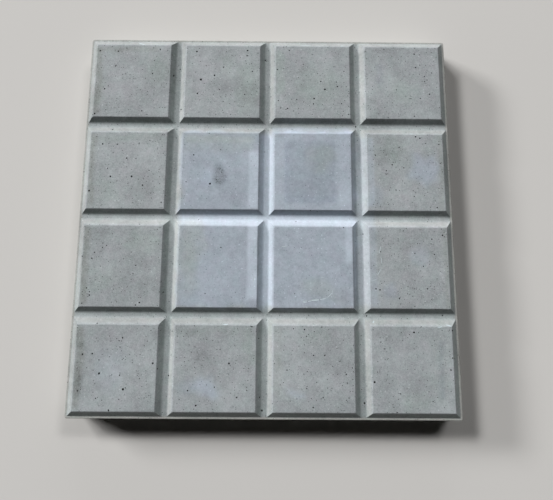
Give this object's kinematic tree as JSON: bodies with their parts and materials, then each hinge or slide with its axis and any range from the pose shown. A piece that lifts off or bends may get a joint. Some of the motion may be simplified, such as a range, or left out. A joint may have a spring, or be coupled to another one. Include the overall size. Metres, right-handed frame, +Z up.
{
  "type": "paving slab",
  "caption": "Square cast concrete paving slab with a grid of raised bevelled panels, grooves with hollow feet, a narrow rim ledge and a flat back.",
  "frame": {"origin": "centre of the back face, which lies on the bed", "axes": "+Z up out of the panelled face, +X and +Y along the slab's sides"},
  "size_m": [0.3, 0.3, 0.03],
  "materials": {
    "cast_concrete": "smooth cement skin from a plastic mould, matt with a faint gloss, with pinholes and cloudy grey mottling"
  },
  "bodies": {
    "root": {"paving_slab": "cast_concrete"}
  },
  "joints": []
}
